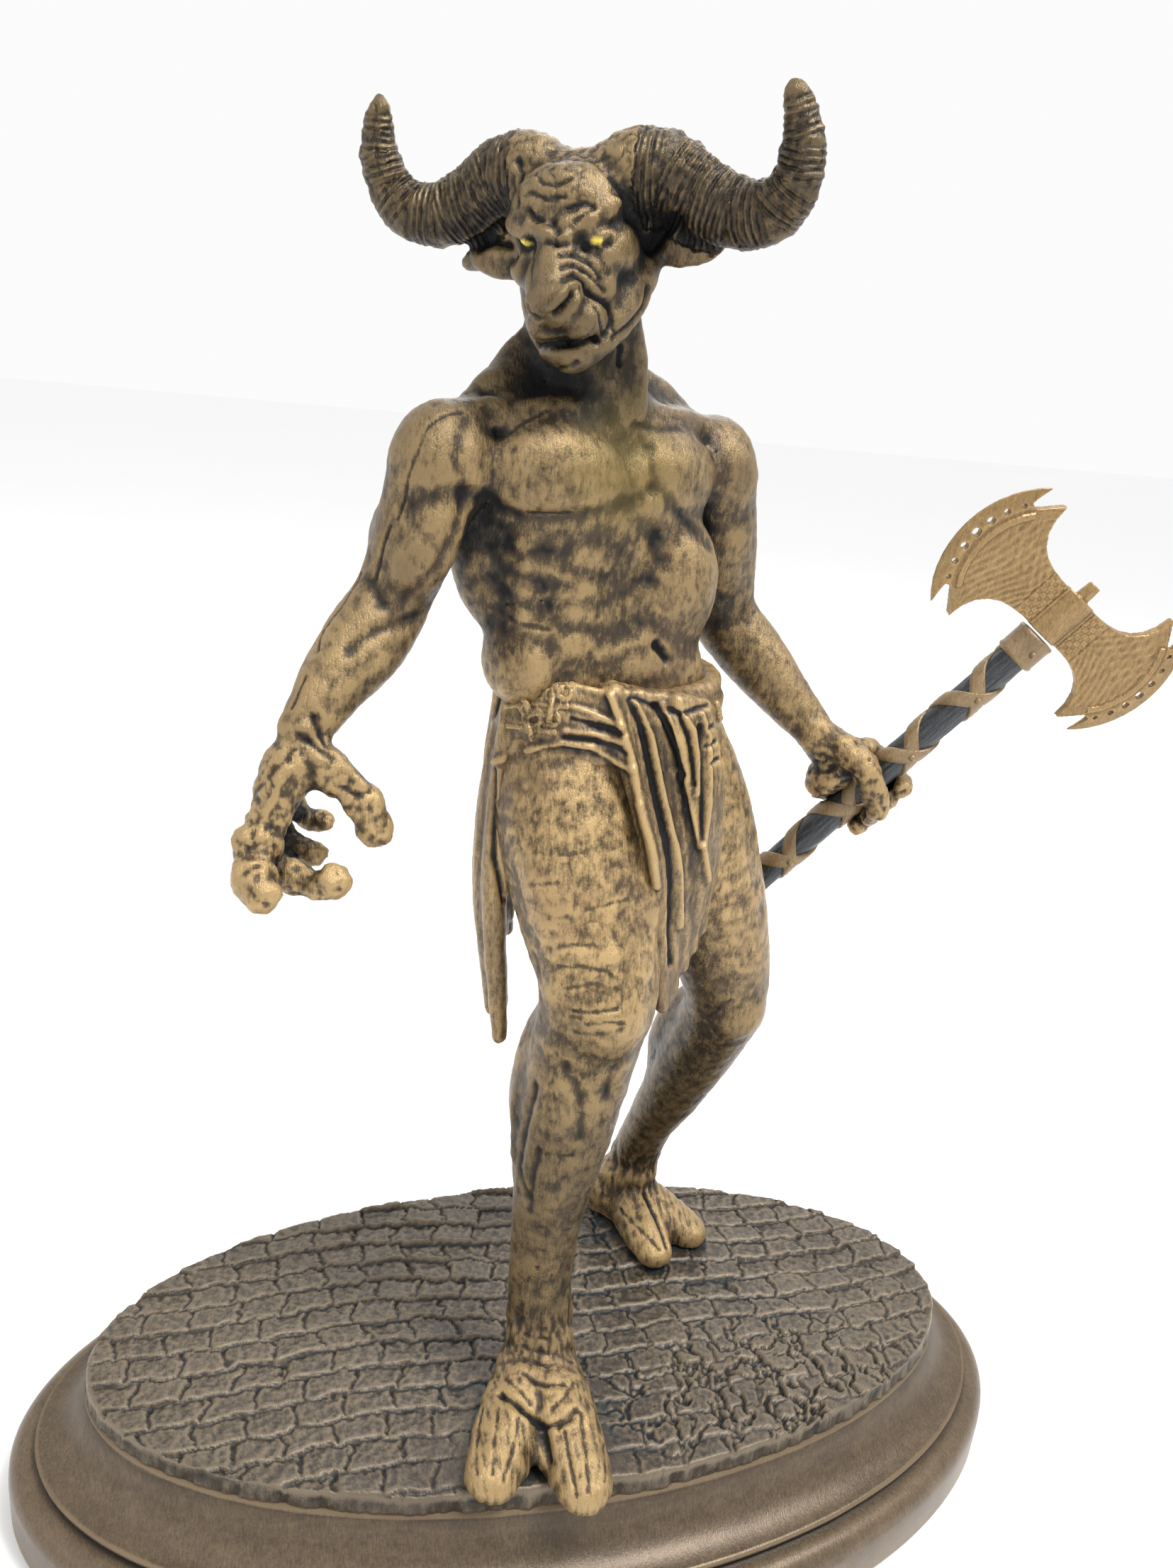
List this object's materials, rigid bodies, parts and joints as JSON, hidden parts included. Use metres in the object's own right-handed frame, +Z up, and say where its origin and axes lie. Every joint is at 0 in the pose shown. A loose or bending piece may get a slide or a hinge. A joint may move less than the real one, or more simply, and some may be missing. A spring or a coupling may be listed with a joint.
{
  "type": "minotaur statue",
  "caption": "Striding bull-headed figure with a double-bladed axe, on a cobbled slab and a moulded oval plinth.",
  "frame": {"origin": "centre of the plinth's underside", "axes": "+Z up; X along the oval's long axis, towards the figure's left; the figure faces -Y"},
  "size_m": [0.2587, 0.1364, 0.3128],
  "materials": {
    "plinth": "dark brown paint rubbed with bronze, blue-green in the groove",
    "cobbles": "bronze dry-brushed over near-black and blue",
    "figure": "gold-brown dry-brushing over dark brown with blue-grey patina in the hollows",
    "axe_handle": "brown painted straps over a near-black wood-grain core",
    "axe_head": "brass-coloured paint"
  },
  "bodies": {
    "root": {"plinth": "plinth", "cobbled_ground": "cobbles", "figure": "figure", "axe_handle": "axe_handle", "axe_head": "axe_head"}
  },
  "joints": []
}
